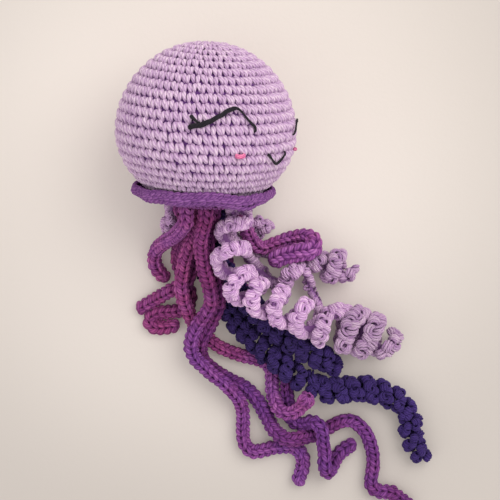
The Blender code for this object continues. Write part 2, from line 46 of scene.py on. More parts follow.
# Bell, the same values as the solids
BELL_RADIUS = 0.0515
CROWN_HEIGHT = 0.0510
LOWER_DEPTH = 0.0429
FOOT_DEPTH = 0.0360
BELL_TILT = math.radians(15.0)
BELL_LEAN = math.radians(3.5)
FLAT_SPOT_DEPTH = 0.0011
DISC_EDGE = 0.0010
DISC_THICKNESS = 0.0028
GAP = 0.0003
DISC_FACE = FOOT_DEPTH + GAP + DISC_THICKNESS
BRIM_STAND = 0.0003
BRIM_TOP = 0.0276
BRIM_HEIGHT = 0.0076
BRIM_SAG = 0.0036
BRIM_TUCK = 0.0014
ROUND_RIDGE = 0.0006
BRIM_RIPPLE = 0.0006
BRIM_RIPPLES = 14
BRIM_FOLD = 0.0016
BRIM_FOLD_ANGLE = math.radians(41.0)
FACE_MIDDLE = 53.0
CORD_RADIUS = 0.00375
FOLD_RADIUS = 0.0054
FIRST_STRETCH = 0.0050
FLOOR_CLEARANCE = 0.00005

# Stitches on the bell: rounds from crown to foot, stitches in a full round, and where it narrows again
ROUNDS = 22
GROWING_ROUNDS = 10
STITCHES_ROUND = 60
FULL_RADIUS = 0.0405
LOW_STITCH = 0.0047

# How far a stitch's legs stand from its middle, at the top and more at the foot, in widths of a stitch
LEG_SPREAD = 0.195
FOOT_SPREAD = 0.155
STITCH_LEAN = -0.18

# Yarn: the radius of a strand in each piece
BELL_STRAND = 0.00146
DISC_STRAND = 0.00122
BRIM_STRAND = 0.00128
CORD_STRAND = 0.00152
TIP_STRAND = 0.00112

# Cords: columns of V stitches, their pitch, their twist (radians a metre) and how far they stand proud
CORD_COLUMNS = 3
CORD_PITCH = 0.0039
CORD_TWIST = 9.0
CORD_PROUD = 0.0011
CORD_CORE_DEPTH = 0.0017

# Curls: the length of a lobe, its strands, how far they wind round it, and the tilt of the two rows
LOBE = 0.0045
LOBE_STRANDS = 4
LOBE_WRAP = math.radians(150.0)
ROW_TILT = 0.85

AXIS = np.array(
    [
        math.sin(BELL_LEAN) * math.cos(BELL_TILT),
        math.cos(BELL_LEAN) * math.cos(BELL_TILT),
        math.sin(BELL_TILT),
    ]
)
UPPER = np.array([0.0, 0.0, 1.0]) - AXIS[2] * AXIS
UPPER /= np.linalg.norm(UPPER)
RIGHT = np.cross(AXIS, UPPER)


def bell_centre():
    reach = math.hypot(BELL_RADIUS * math.cos(BELL_TILT), LOWER_DEPTH * math.sin(BELL_TILT))
    along = -LOWER_DEPTH * LOWER_DEPTH * math.sin(BELL_TILT) / reach
    out = -BELL_RADIUS * BELL_RADIUS * math.cos(BELL_TILT) / reach
    return np.array([0.0, 0.0, -FLAT_SPOT_DEPTH]) - along * AXIS - out * UPPER


CENTRE = bell_centre()


def unit(vectors):
    return vectors / np.maximum(np.linalg.norm(vectors, axis=-1, keepdims=True), 1e-12)


def smooth_curve(rows):
    """Rows of numbers, the first three a position, run through by a smooth curve at many close points."""
    rows = np.array(rows, dtype=float)
    chord = np.linalg.norm(np.diff(rows[:, :3], axis=0), axis=1)
    knots = np.concatenate([[0.0], np.cumsum(np.sqrt(chord))])
    slope = np.gradient(rows, knots, axis=0)
    pieces = []
    for i in range(len(rows) - 1):
        width = knots[i + 1] - knots[i]
        s = np.linspace(0.0, 1.0, 60, endpoint=False)[:, None]
        piece = (2 * s**3 - 3 * s**2 + 1) * rows[i]
        piece += (s**3 - 2 * s**2 + s) * width * slope[i]
        piece += (3 * s**2 - 2 * s**3) * rows[i + 1]
        piece += (s**3 - s**2) * width * slope[i + 1]
        piece[:, 3:] = (1 - s) * rows[i, 3:] + s * rows[i + 1, 3:]
        pieces.append(piece)
    return np.vstack(pieces + [rows[-1:]])


def even_points(points, values, step):
    """The curve's points at even steps along its length, the values there and the distances."""
    lengths = np.linalg.norm(np.diff(points, axis=0), axis=1)
    along = np.concatenate([[0.0], np.cumsum(lengths)])
    count = max(2, int(round(along[-1] / step)))
    wanted = np.linspace(0.0, along[-1], count + 1)
    placed = np.stack([np.interp(wanted, along, points[:, axis]) for axis in range(3)], axis=1)
    kept = np.stack([np.interp(wanted, along, value) for value in values], axis=1)
    return placed, kept, wanted


def from_disc(right, up, out):
    """A point over the base disc's face, this far out from it."""
    return CENTRE - (DISC_FACE + GAP + out) * AXIS + right * RIGHT + up * UPPER


# Yarn


class Yarn:
    """Strands of yarn gathered into one mesh, with their twist, brightness (random, with painted shade and
    painted light) and colour mix stored on it.
    """

    def __init__(self):
        self.points = []
        self.quads = []
        self.uvs = []
        self.tone_light_and_shade = []
        self.mix = []
        self.count = 0

    def add(self, points, quads, uvs, tone_light_and_shade, mix):
        self.points.append(points)
        self.quads.append(quads + self.count)
        self.uvs.append(uvs)
        self.tone_light_and_shade.append(tone_light_and_shade)
        self.mix.append(mix)
        self.count += len(points)

    def strands(self, paths, outward, radius, sides, tone_light_and_shade, mix, flat=1.0):
        """Tubes round paths[strand, point], their first side towards outward."""
        number, length, _ = paths.shape
        along = unit(np.gradient(paths, axis=1))
        side = unit(outward - (outward * along).sum(-1, keepdims=True) * along)
        other = np.cross(along, side)
        turn = TURN * np.arange(sides) / sides
        ring = flat * np.cos(turn)[:, None] * side[:, :, None, :]
        ring = ring + np.sin(turn)[:, None] * other[:, :, None, :]
        radius = np.broadcast_to(radius, (number, length))
        points = paths[:, :, None, :] + radius[:, :, None, None] * ring
        points = points.reshape(-1, 3)
        points[:, 2] = np.maximum(points[:, 2], 0.0)
        index = np.arange(number * length * sides).reshape(number, length, sides)
        after = np.roll(index, -1, axis=2)
        quads = np.stack([index[:, :-1], after[:, :-1], after[:, 1:], index[:, 1:]], axis=-1)
        steps = np.linalg.norm(np.diff(paths, axis=1), axis=2)
        run = np.concatenate([np.zeros((number, 1)), np.cumsum(steps, axis=1)], axis=1) / MM
        run = run + chance.uniform(0.0, 30.0, (number, 1))
        around = np.arange(sides) / sides
        low = np.broadcast_to(run[:, :-1, None], quads.shape[:3])
        high = np.broadcast_to(run[:, 1:, None], quads.shape[:3])
        left = np.broadcast_to(around, quads.shape[:3])
        right = left + 1.0 / sides
        along_yarn = np.stack([low, low, high, high], axis=-1)
        round_yarn = np.stack([left, right, right, left], axis=-1)
        uvs = np.stack([along_yarn, round_yarn], axis=-1)
        tone_light_and_shade = np.repeat(np.broadcast_to(tone_light_and_shade, (number, length)).reshape(-1), sides)
        mix = np.repeat(np.broadcast_to(mix, (number, length)).reshape(-1), sides)
        self.add(points, quads.reshape(-1, 4), uvs.reshape(-1, 4, 2), tone_light_and_shade, mix)

    def grid(self, points, tone_light_and_shade, mix):
        """A plain surface under the strands from points[row, column], closed round each row."""
        rows, columns, _ = points.shape
        index = np.arange(rows * columns).reshape(rows, columns)
        after = np.roll(index, -1, axis=1)
        quads = np.stack([index[:-1], after[:-1], after[1:], index[1:]], axis=-1).reshape(-1, 4)
        flat = points.reshape(-1, 3).copy()
        flat[:, 2] = np.maximum(flat[:, 2], 0.0)
        uvs = np.zeros((len(quads), 4, 2))
        tone_light_and_shade = np.broadcast_to(tone_light_and_shade, (rows, columns)).reshape(-1)
        mix = np.broadcast_to(mix, (rows, columns)).reshape(-1)
        self.add(flat, quads, uvs, tone_light_and_shade, mix)

    def piece(self, name, coat, slot):
        points = np.concatenate(self.points)
        quads = np.concatenate(self.quads)
        uvs = np.concatenate(self.uvs)
        mesh = bpy.data.meshes.new(name)
        mesh.vertices.add(len(points))
        mesh.vertices.foreach_set("co", points.astype(np.float32).ravel())
        mesh.loops.add(quads.size)
        mesh.loops.foreach_set("vertex_index", quads.astype(np.int32).ravel())
        mesh.polygons.add(len(quads))
        mesh.polygons.foreach_set("loop_start", np.arange(0, quads.size, 4, dtype=np.int32))
        mesh.polygons.foreach_set("use_smooth", np.ones(len(quads), dtype=bool))
        mesh.update(calc_edges=True)
        layer = mesh.uv_layers.new(name="yarn")
        layer.uv.foreach_set("vector", uvs.astype(np.float32).ravel())
        for key, values in (("tone_light_and_shade", self.tone_light_and_shade), ("mix", self.mix)):
            stored = mesh.attributes.new(key, "FLOAT", "POINT")
            stored.data.foreach_set("value", np.concatenate(values).astype(np.float32))
        mesh.validate()
        mesh.materials.append(coat)
        made = bpy.data.objects.new(name, mesh)
        bpy.context.scene.collection.objects.link(made)
        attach(made, "root")
        return made


# Materials


class Coat:
    """A material and its node tree. Each value fed to a node is a number or another node's output."""

    def __init__(self, name, roughness):
        self.material = bpy.data.materials.new(name)
        self.material.use_nodes = True
        self.nodes = self.material.node_tree.nodes
        self.link = self.material.node_tree.links.new
        self.shader = self.nodes["Principled BSDF"]
        self.set("Roughness", roughness)
        self.where = self.nodes.new("ShaderNodeTexCoord").outputs["Object"]

    def set(self, name, value):
        self.shader.inputs[name].default_value = value

    def fed(self, kind, *values):
        """A new node with these values at its first inputs."""
        node = self.nodes.new("ShaderNode" + kind)
        for socket, value in zip(node.inputs, values):
            if isinstance(value, (int, float)):
                socket.default_value = value
            else:
                self.link(value, socket)
        return node

    def math(self, operation, *values):
        node = self.fed("Math", *values)
        node.operation = operation
        return node.outputs[0]

    def attribute(self, name):
        node = self.nodes.new("ShaderNodeAttribute")
        node.attribute_name = name
        return node.outputs["Fac"]

    def noise(self, where, **settings):
        node = self.nodes.new("ShaderNodeTexNoise")
        for name, value in settings.items():
            node.inputs[name].default_value = value
        self.link(where, node.inputs["Vector"])
        return node.outputs["Fac"]

    def blend(self, share, first, second):
        node = self.nodes.new("ShaderNodeMix")
        node.data_type = "RGBA"
        node.inputs[6].default_value = (*first, 1.0)
        node.inputs[7].default_value = (*second, 1.0)
        self.link(share, node.inputs[0])
        return node.outputs[2]

    def bump(self, height, strength, distance):
        node = self.nodes.new("ShaderNodeBump")
        node.inputs["Strength"].default_value = strength
        node.inputs["Distance"].default_value = distance
        self.link(height, node.inputs["Height"])
        self.link(node.outputs[0], self.shader.inputs["Normal"])


def yarn_material(name, first, second, groove_shade=0.55, sheen=0.35):
    """Plied cotton. The colour goes from first to second with the strand's mix."""
    plies = 4
    ply_turn = 11.0
    coat = Coat(name, 0.82)
    coat.set("Specular IOR Level", 0.3)
    coat.set("Sheen Weight", sheen)
    coat.set("Sheen Roughness", 0.45)
    coat.set("Sheen Tint", (*[min(1.0, 1.2 * c + 0.1) for c in first], 1.0))
    place = coat.nodes.new("ShaderNodeUVMap")
    place.uv_map = "yarn"
    along, around, _ = coat.fed("SeparateXYZ", place.outputs["UV"]).outputs

    # The plies: ridges that wind slowly round the strand, with painted shade darkening the grooves between
    # them
    wound = coat.math("ADD", coat.math("MULTIPLY", along, 1.0 / ply_turn), around)
    wave = coat.math("SINE", coat.math("MULTIPLY", wound, TURN * plies))
    ply = coat.math("POWER", coat.math("MULTIPLY_ADD", wave, 0.5, 0.5), 0.6)

    # The fibres: fine streaks along the plies
    streak = coat.fed("CombineXYZ", coat.math("MULTIPLY", along, 0.35), coat.math("MULTIPLY", wound, 34.0))
    fibre = coat.noise(streak.outputs[0], Scale=1.0, Detail=3.0, Roughness=0.6)

    # The dye: uneven along the yarn
    dye = coat.noise(coat.where, Scale=160.0, Detail=2.0)
    # Painted shade: the colour is darker in the grooves between the plies
    shade = coat.math("MULTIPLY_ADD", ply, 1.0 - groove_shade, groove_shade)
    shade = coat.math("MULTIPLY", shade, coat.math("MULTIPLY_ADD", fibre, 0.5, 0.75))
    shade = coat.math("MULTIPLY", shade, coat.math("MULTIPLY_ADD", dye, 0.36, 0.82))
    # The strand's brightness: random, with painted shade deep in the fabric and on the backings, and
    # painted light per cord
    shade = coat.math("MULTIPLY", shade, coat.attribute("tone_light_and_shade"))

    # Deep in the yarn the light is dyed again, so the colour gets fuller there
    deep = coat.fed("CombineXYZ", *[coat.math("POWER", shade, power) for power in (1.15, 1.7, 0.9)])
    colour = coat.fed("VectorMath", coat.blend(coat.attribute("mix"), first, second), deep.outputs[0])
    colour.operation = "MULTIPLY"
    coat.link(colour.outputs[0], coat.shader.inputs["Base Color"])
    coat.bump(coat.math("ADD", ply, coat.math("MULTIPLY", fibre, 0.6)), 0.75, 0.00032)
    return coat.material


def fibre_material(name, colour):
    """Loose white filling."""
    coat = Coat(name, 0.95)
    coat.set("Sheen Weight", 0.4)
    wisps = coat.noise(coat.where, Scale=180.0, Detail=6.0, Distortion=1.5)
    coat.link(coat.blend(wisps, [0.86 * c for c in colour], colour), coat.shader.inputs["Base Color"])
    coat.bump(wisps, 0.6, 0.0008)
    return coat.material


# Camera: straight down, with the crown towards the top of the picture
camera_data = bpy.data.cameras.new("camera")
camera_data.lens = 72.0
camera_data.sensor_width = 36.0
camera_data.clip_start = 0.01
camera = bpy.data.objects.new("camera", camera_data)
camera.location = (0.0248, -0.0713, 0.620)
bpy.context.scene.collection.objects.link(camera)
bpy.context.scene.camera = camera

# The bell yarn's darker second colour goes only on the backing: painted shade in the holes between stitches
BELL_YARN = yarn_material("bell_yarn", (0.71, 0.53, 0.69), (0.46, 0.26, 0.54), groove_shade=0.72)
CURL_YARN = yarn_material("curl_yarn", (0.87, 0.585, 0.84), (0.51, 0.355, 0.50), groove_shade=0.68)
# The brim yarn's darker second colour: a little of it on the stitches is the yarn's own colour, more of it
# on the backing is painted shade
BRIM_YARN = yarn_material("brim_yarn", (0.29, 0.110, 0.33), (0.23, 0.07, 0.27))
PLUM_YARN = yarn_material("plum_yarn", (0.33, 0.052, 0.19), (0.31, 0.105, 0.39))
INDIGO_YARN = yarn_material("indigo_yarn", (0.037, 0.016, 0.120), (0.064, 0.030, 0.205))
# The base yarn's darker second colour goes only on the backing: painted shade in the holes between stitches
DISC_YARN = yarn_material("disc_yarn", (0.26, 0.075, 0.26), (0.20, 0.05, 0.20))
BLACK_YARN = yarn_material("black_yarn", (0.016, 0.013, 0.018), (0.02, 0.016, 0.022), sheen=0.15)
PINK_YARN = yarn_material("pink_yarn", (0.88, 0.22, 0.42), (0.70, 0.16, 0.34))


# Cord tentacles


def along_frames(points):
    """Directions along and across a line of points, turned as little as possible on the way."""
    along = unit(np.gradient(points, axis=0))
    across = np.cross(along[0], [0.3, 0.2, 0.9])
    sides = []
    for direction in along:
        across = across - np.dot(across, direction) * direction
        across = across / np.linalg.norm(across)
        sides.append(across)
    sides = np.array(sides)
    return along, sides, np.cross(along, sides)


class Line:
    """A centre line that gives a place at a distance along it, an angle round it and a distance from it."""

    def __init__(self, points, run):
        self.points = points
        self.run = run
        self.along, self.side, self.other = along_frames(points)

    def at(self, values, s):
        return np.stack([np.interp(s, self.run, values[:, axis]) for axis in range(3)], axis=-1)

    def place(self, s, angle, out):
        side = unit(self.at(self.side, s))
        other = unit(self.at(self.other, s))
        towards = np.cos(angle)[..., None] * side + np.sin(angle)[..., None] * other
        return self.at(self.points, s) + out[..., None] * towards, towards


def chain_legs(made, line, start, end, radius_at, mix_at, painted_light):
    """Columns of V stitches round a line, from start to end of its length. Each V points to the far end."""
    pitch = CORD_PITCH
    yarn = CORD_STRAND
    share = np.linspace(0.0, 1.0, 9)
    rise = np.sin(np.pi * (0.03 + 0.94 * share)) ** 0.6
    count = int((end - start) / pitch)
    centre_s = start + pitch * (np.arange(count) + 0.5)
    width = TURN / CORD_COLUMNS
    for column in range(CORD_COLUMNS):
        shift = 0.5 * pitch * (column % 2)
        for hand in (-1.0, 1.0):
            base = centre_s + shift + chance.normal(0.0, 0.03 * pitch, count)
            s = base[:, None] + 1.22 * pitch * (share - 0.5)[None]
            s = np.clip(s, start, end)
            open_share = width * (0.45 - 0.36 * share)
            angle = column * width + CORD_TWIST * s + hand * open_share[None]
            angle = angle + chance.normal(0.0, 0.03, count)[:, None]
            radius = radius_at(s)
            proud = CORD_PROUD * np.minimum(1.0, (CORD_RADIUS / radius) ** 2)
            out = radius + proud - 0.92 * yarn - 1.45 * yarn * (1.0 - rise)[None]
            out = out + chance.normal(0.0, 0.06 * yarn, count)[:, None]
            paths, towards = line.place(s, angle, out)
            thick = yarn * (0.58 + 0.42 * rise)[None] * (radius / CORD_RADIUS) ** 0.5
            # Random brightness per stitch, the cord's painted light, and painted shade where the legs dip
            # into the cord
            tone_light_and_shade = painted_light * chance.uniform(0.80, 1.20, (count, 1)) * (0.30 + 0.76 * rise)[None]
            made.strands(paths, towards, thick, 6, tone_light_and_shade, mix_at(s), 0.9)


def core_tube(made, line, radii, mix_at):
    """A plain tube inside the stitches, painted dark as the shade between them, through every third point
    of the line.
    """
    step = slice(None, None, 3)
    turn = TURN * np.arange(10) / 10
    ring = np.cos(turn)[None, :, None] * line.side[step][:, None]
    ring = ring + np.sin(turn)[None, :, None] * line.other[step][:, None]
    points = line.points[step][:, None] + radii[step][:, None, None] * ring
    made.grid(points, 0.45, mix_at(line.run[step])[:, None])


def drawn_tip(made, line, radius_at, mix_at, painted_light):
    """A cord's last round of stitches, drawn together at its tip."""
    count = 8
    end = line.run[-1]
    angle = TURN * np.arange(count) / count
    bend = np.linspace(0.0, 1.0, 6)
    s = (end - 0.0034 + 0.0026 * bend)[None] + np.zeros((count, 1))
    wide = radius_at(np.array([end - 0.004])) / CORD_RADIUS
    out = np.interp(bend, [0.0, 0.5, 1.0], [0.0026, 0.0022, 0.0006])[None] * wide
    paths, towards = line.place(s, angle[:, None] + 0.5 * bend[None], out + np.zeros((count, 1)))
    outward = unit(towards + 1.2 * bend[None, :, None] * line.at(line.along, s))
    # Random brightness with the cord's painted light
    tone_light_and_shade = painted_light * chance.uniform(0.9, 1.1, (count, 1))
    made.strands(paths, outward, TIP_STRAND, 6, tone_light_and_shade, mix_at(s), 0.9)


def cord_piece(name, start, route, painted_light, mixes, fold_from, knob):
    """A cord, thicker past fold_from of its length, its tip thicker again by knob."""
    rows = [tuple(from_disc(start[0] * MM, start[1] * MM, 0.0))]
    rows.append(tuple(from_disc(start[0] * MM, start[1] * MM, FIRST_STRETCH)))
    rows += [(x * MM, y * MM, z * MM) for x, y, z in route]
    centre = smooth_curve(rows)
    points, _, run = even_points(centre, [np.zeros(len(centre))], 0.0008)
    end = run[-1]
    share = run / end
    radii = CORD_RADIUS + (FOLD_RADIUS - CORD_RADIUS) * np.clip((share - fold_from) / 0.15, 0.0, 1.0)
    points[:, 2] = np.maximum(points[:, 2], radii + FLOOR_CLEARANCE)
    radii = radii * (1.0 + knob * np.clip((run - end + 0.0095) / 0.003, 0.0, 1.0))
    tip = np.clip((end - run) / (0.95 * radii), 0.0, 1.0)
    radii = radii * np.sqrt(np.maximum(1.0 - (1.0 - tip) ** 2, 0.04))
    line = Line(points, run)
    keys = np.array(mixes)

    def radius_at(s):
        return np.interp(s, run, radii)

    def mix_at(s):
        value = np.interp(s / end, keys[:, 0], keys[:, 1])
        return np.clip(value + 0.10 * np.sin(s / 0.0037 + 3.0 * np.sin(s / 0.011)), 0.0, 1.0)

    made = Yarn()
    core_tube(made, line, np.maximum(radii - CORD_CORE_DEPTH, 0.0004), mix_at)
    chain_legs(made, line, 0.0005, end - 0.0008, radius_at, mix_at, painted_light)
    drawn_tip(made, line, radius_at, mix_at, painted_light)
    piece = made.piece(name + "_yarn", PLUM_YARN, "plum_cotton")
    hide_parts(name)
    path = points[::4]
    if (len(points) - 1) % 4:
        path = np.vstack([path, points[-1:]])


# Each cord tentacle: its node, where it starts on the disc and its way (mm), its painted light
# (a brighter or darker copy of the one plum yarn, for how lit the cord lies), its colour mixes and its
# length
CORDS = [
    (
        "plum_tentacle_left_loop", (-8, 18),
        [
            (-11, -54, 55), (-14.5, -59, 45), (-20, -63.5, 32), (-26, -66.5, 21),
            (-31.5, -70.5, 12), (-34, -76, 6), (-33, -82, 3.8), (-29.5, -86.5, 3.8),
            (-25.5, -90.5, 3.8),
        ],
        1.08, [(0, 0.4), (0.45, 0.7), (0.7, 0.5), (1, 0.2)], 0.085,
    ),
    (
        "plum_tentacle_folded", (-13, 3),
        [
            (-12.5, -54.5, 34), (-14, -61, 24.5), (-17, -67.5, 16), (-19.5, -73.5, 9),
            (-19.5, -79.5, 5.5), (-17, -86, 3.8), (-14, -93.5, 3.8), (-12, -99, 3.8),
            (-13, -104.5, 3.8), (-17.5, -108, 3.8), (-24.5, -109.3, 3.8), (-30.5, -110, 3.8),
            (-35.5, -112, 3.8), (-37, -115.5, 3.8), (-34.5, -118.6, 3.8), (-29, -119.2, 3.8),
            (-23.5, -118.3, 3.8), (-18.5, -117.5, 3.8),
        ],
        0.92, [(0, 0.3), (0.4, 0.2), (0.7, 0.1), (1, 0.15)], 0.131,
    ),
    (
        "plum_tentacle_raised_end", (-1, 10),
        [
            (-6.5, -54.5, 41.4), (-8.5, -62.5, 36.5), (-11.5, -70, 32), (-14, -77, 28),
            (-15.5, -84.5, 24), (-16.5, -91.5, 20.8), (-16, -97, 18.9), (-15, -102.5, 15.5),
            (-13, -107.5, 12.6), (-11, -113, 9.4), (-8.5, -118, 4.5), (-4, -123, 3.8),
            (0.5, -127, 3.8), (5.5, -130.5, 3.8), (13, -134, 3.8), (21, -136.5, 3.8),
            (28.5, -138, 3.8), (34.5, -140.5, 3.8), (38, -144.5, 3.8), (38.5, -151.5, 3.8),
            (38.5, -157.5, 4.2), (40, -163.5, 6), (42.5, -168.5, 9.5), (46.5, -170.5, 12),
            (51, -170, 13), (55.5, -166.5, 14.5), (58.5, -162, 17.5), (60, -158.5, 22),
        ],
        1.02, [(0, 0.1), (0.3, 0.2), (0.55, 0.1), (0.75, 0.8), (0.85, 0.6), (1, 0.45)], 0.199,
    ),
    (
        "plum_tentacle_left_tip", (-5, -5),
        [
            (-7, -57, 22), (-7, -65.5, 18), (-8.5, -72.5, 15.5), (-10, -80, 13.6),
            (-11.5, -86, 12.2), (-14.5, -91, 11.8), (-19.5, -94, 11.9), (-24.5, -96.5, 9.8),
            (-30.5, -100, 6), (-35.5, -103, 4.2), (-40.5, -106, 3.8), (-45, -108.5, 3.8),
        ],
        0.9, [(0, 0.2), (0.5, 0.3), (1, 0.2)], 0.096,
    ),
    (
        "plum_tentacle_lower", (3, 19),
        [
            (-1, -55.5, 54), (-3, -62, 48.5), (-4, -69, 43), (-3, -76, 38.5), (-2, -83, 34.5),
            (0, -90, 31), (1.5, -97, 28), (1.5, -103, 24.5), (-1.5, -109, 21),
            (-5.5, -114.5, 17.5), (-8.5, -119.5, 16.6), (-10.5, -125, 16.4), (-11, -130.5, 14.9),
            (-8.5, -137, 12.9), (-3, -142.5, 12), (2.5, -147.5, 12), (8, -151.5, 11.7),
            (13, -156.5, 10.4), (17.5, -162, 7.8), (20, -168.5, 5), (20.5, -176, 3.8),
            (20.5, -184, 3.8), (21.5, -190.5, 3.8), (25.5, -195, 3.8), (31.5, -195, 3.8),
            (37, -193.5, 3.8), (42.5, -192.5, 3.8), (48, -192, 3.8), (53, -193.5, 3.8),
            (57, -198, 3.8), (57.5, -204, 3.8), (55.5, -210.5, 3.8), (54, -216.5, 3.8),
        ],
        0.8, [(0, 0.1), (0.25, 0.2), (0.45, 0.9), (0.6, 0.7), (0.75, 0.6), (0.85, 0.9), (1, 0.8)], 0.233,
    ),
    (
        "plum_tentacle_longest", (7, 9),
        [
            (1, -57, 38), (0, -65.5, 33), (0.5, -74.5, 29), (2, -83, 25.5), (4.5, -91, 22.5),
            (6, -98.5, 19.8), (6, -104.5, 17), (3.5, -110, 14.9), (1.5, -115, 12.4),
            (-1.5, -120.5, 12), (-4.5, -126, 11.4), (-5.5, -132, 7.2), (-4, -138.5, 4.2),
            (1.5, -144, 3.8), (7.5, -148.5, 3.8), (13.5, -152, 3.8), (21, -155.5, 3.8),
            (27.5, -161.5, 3.8), (32, -168, 3.8), (35.5, -174.5, 4.3), (38.5, -180, 7),
            (42.5, -184, 10.6), (48, -186.5, 11.5), (54, -186.5, 9.8), (59, -186, 6.3),
            (63.5, -185.5, 4.1), (68, -183.5, 3.8), (73, -181, 3.8), (78.5, -178, 3.8),
            (83.5, -176.5, 3.8), (88.5, -177, 3.8), (93, -180.5, 3.8), (97, -185.5, 3.8),
            (99, -191.5, 3.8), (100.5, -198, 3.8), (100.5, -205, 3.8), (99.5, -211, 3.8),
            (99.5, -216, 3.8), (102.5, -219.5, 3.8), (107.5, -220, 3.8), (112.5, -221, 3.8),
            (116.5, -224, 3.8), (121, -227.5, 3.8), (124.5, -231, 3.8),
        ],
        0.64,
        [(0, 0.2), (0.35, 0.4), (0.48, 1), (0.6, 0.6), (0.7, 0.5), (0.8, 0.8), (0.9, 0.7), (1, 0.5)],
        0.303,
    ),
    (
        "plum_tentacle_hooked", (3, -11),
        [
            (3, -57, 21), (6.5, -66.5, 13), (10, -77.5, 6.5), (14.5, -88, 3.8), (20.5, -96.5, 3.8),
            (25.5, -103.5, 3.8), (31.5, -111, 3.8), (37.5, -119, 3.8), (42.5, -128, 3.8),
            (46.5, -136.5, 3.8), (47.5, -146, 3.8), (47.5, -154.5, 3.8), (48, -162, 3.8),
            (49, -168.5, 3.8), (49.5, -173.5, 3.8), (53, -177.5, 3.8), (57.5, -178.5, 4.8),
            (62, -176.5, 7.2), (66, -177.5, 10.8), (68.5, -182, 12.1), (69, -188, 12.2),
            (70, -194, 12.4), (70, -199.5, 12.6), (70.5, -204.5, 11), (72.5, -207.5, 8.2),
            (74.5, -206.5, 5), (76.5, -202, 3.8), (79.5, -197, 3.8), (83.5, -193.5, 3.8),
            (87, -191.5, 3.8), (90.5, -192, 3.8),
        ],
        0.62, [(0, 0.2), (0.5, 0.5), (0.65, 1), (0.85, 0.9), (1, 0.7)], 0.235,
    ),
    (
        "plum_tentacle_right_fold", (21, -3),
        [
            (20.5, -54.5, 25), (23.5, -61, 18), (27, -67, 12.5), (32, -70, 9), (39.5, -67.5, 7.8),
            (47, -64.8, 7.2), (53.5, -63, 8), (59, -62.8, 10.5), (63, -65, 13.2),
            (63.5, -68.8, 15.8), (60.5, -71.8, 17), (55, -72.6, 17.2), (49.5, -73.8, 17),
            (44, -75.3, 16.8), (39.5, -77.5, 16.5), (36, -79, 16.3),
        ],
        1.12, [(0, 0.4), (0.5, 0.5), (0.7, 0.6), (1, 0.7)], 0.113,
    ),
]

# From which share of its length a cord is thicker, and by how much the end of another is
FOLD_FROM = {"plum_tentacle_right_fold": 0.6}
KNOB = {"plum_tentacle_raised_end": 0.32}
